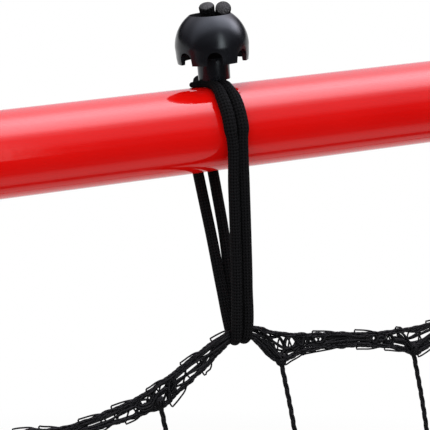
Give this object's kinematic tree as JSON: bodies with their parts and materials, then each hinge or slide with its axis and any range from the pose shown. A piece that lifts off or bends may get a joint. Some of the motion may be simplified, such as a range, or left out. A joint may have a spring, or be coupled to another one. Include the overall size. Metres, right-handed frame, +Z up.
{
  "type": "soccer rebounder net",
  "caption": "Soccer rebounder: a square net held by elastic ball ties in a leaning red tube frame, with a folding rear leg, clamp knobs and clip-on feet.",
  "frame": {"origin": "on the floor, under the middle of the whole stand", "axes": "+X along the rails to the right as seen from the front, the net faces -Y, +Z up"},
  "size_m": [1.0676, 0.5508, 1.0059],
  "materials": {
    "red_powder_coat": "gloss",
    "net_twine": "matte",
    "elastic_cord": "matte",
    "ball_plastic": "satin",
    "black_plastic": "satin",
    "black_rubber": "matte",
    "zinc_plate": "satin",
    "zinc_bolt": "satin",
    "spring_steel": "satin"
  },
  "bodies": {
    "net_frame": {"upper_frame_tube": "red_powder_coat", "lower_frame_tube": "red_powder_coat", "net_mesh": "net_twine", "net_border": "net_twine", "hinge_bracket_left": "zinc_plate", "bracket_bolt_left": "zinc_bolt", "pivot_bolt_left": "zinc_bolt", "pivot_nut_left": "zinc_bolt", "front_foot_left": "black_rubber", "button_spring_left": "spring_steel", "hinge_bracket_right": "zinc_plate", "bracket_bolt_right": "zinc_bolt", "pivot_bolt_right": "zinc_bolt", "pivot_nut_right": "zinc_bolt", "front_foot_right": "black_rubber", "button_spring_right": "spring_steel", "tie_ball_top_1": "ball_plastic", "tie_ball_top_2": "ball_plastic", "tie_ball_top_3": "ball_plastic", "tie_ball_top_4": "ball_plastic", "tie_ball_left_1": "ball_plastic", "tie_ball_left_2": "ball_plastic", "tie_ball_left_3": "ball_plastic", "tie_ball_left_4": "ball_plastic", "tie_ball_right_1": "ball_plastic", "tie_ball_right_2": "ball_plastic", "tie_ball_right_3": "ball_plastic", "tie_ball_right_4": "ball_plastic", "tie_ball_bottom_1": "ball_plastic", "tie_ball_bottom_2": "ball_plastic", "tie_ball_bottom_3": "ball_plastic", "tie_ball_bottom_4": "ball_plastic", "tie_cord_top_1": "elastic_cord", "tie_cord_top_2": "elastic_cord", "tie_cord_top_3": "elastic_cord", "tie_cord_top_4": "elastic_cord", "tie_cord_left_1": "elastic_cord", "tie_cord_left_2": "elastic_cord", "tie_cord_left_3": "elastic_cord", "tie_cord_left_4": "elastic_cord", "tie_cord_right_1": "elastic_cord", "tie_cord_right_2": "elastic_cord", "tie_cord_right_3": "elastic_cord", "tie_cord_right_4": "elastic_cord", "tie_cord_bottom_1": "elastic_cord", "tie_cord_bottom_2": "elastic_cord", "tie_cord_bottom_3": "elastic_cord", "tie_cord_bottom_4": "elastic_cord"},
    "rear_leg": {"rear_leg_tube": "red_powder_coat", "leg_cap_left": "black_plastic", "leg_cap_right": "black_plastic", "clamp_bolt_left": "zinc_bolt", "clamp_bolt_right": "zinc_bolt", "rear_foot_left": "black_rubber", "rear_foot_right": "black_rubber"},
    "clamp_knob_left": {"clamp_knob_left": "black_plastic"},
    "clamp_knob_right": {"clamp_knob_right": "black_plastic"},
    "frame_button_left": {"frame_button_left": "zinc_bolt"},
    "frame_button_right": {"frame_button_right": "zinc_bolt"}
  },
  "joints": [
    {"name": "rear_leg_fold", "type": "hinge", "parent": "net_frame", "child": "rear_leg", "pos_m": [0, 0.04283, 0.76035], "axis": [1, 0, 0], "range_deg": [-32, 0]},
    {"name": "clamp_knob_left_turn", "type": "hinge", "parent": "rear_leg", "child": "clamp_knob_left", "pos_m": [-0.5036, 0.05606, 0.71421], "axis": [-1, 0, 0], "range_deg": [0, 720]},
    {"name": "clamp_knob_right_turn", "type": "hinge", "parent": "rear_leg", "child": "clamp_knob_right", "pos_m": [0.5036, 0.05606, 0.71421], "axis": [1, 0, 0], "range_deg": [0, 720]},
    {"name": "frame_button_left_press", "type": "slide", "parent": "net_frame", "child": "frame_button_left", "axis": [1, 0, 0], "range_m": [0, 0.0048], "stiffness_N_per_m": 2500, "deforming": ["button_spring_left"]},
    {"name": "frame_button_right_press", "type": "slide", "parent": "net_frame", "child": "frame_button_right", "axis": [-1, 0, 0], "range_m": [0, 0.0048], "stiffness_N_per_m": 2500, "deforming": ["button_spring_right"]}
  ]
}
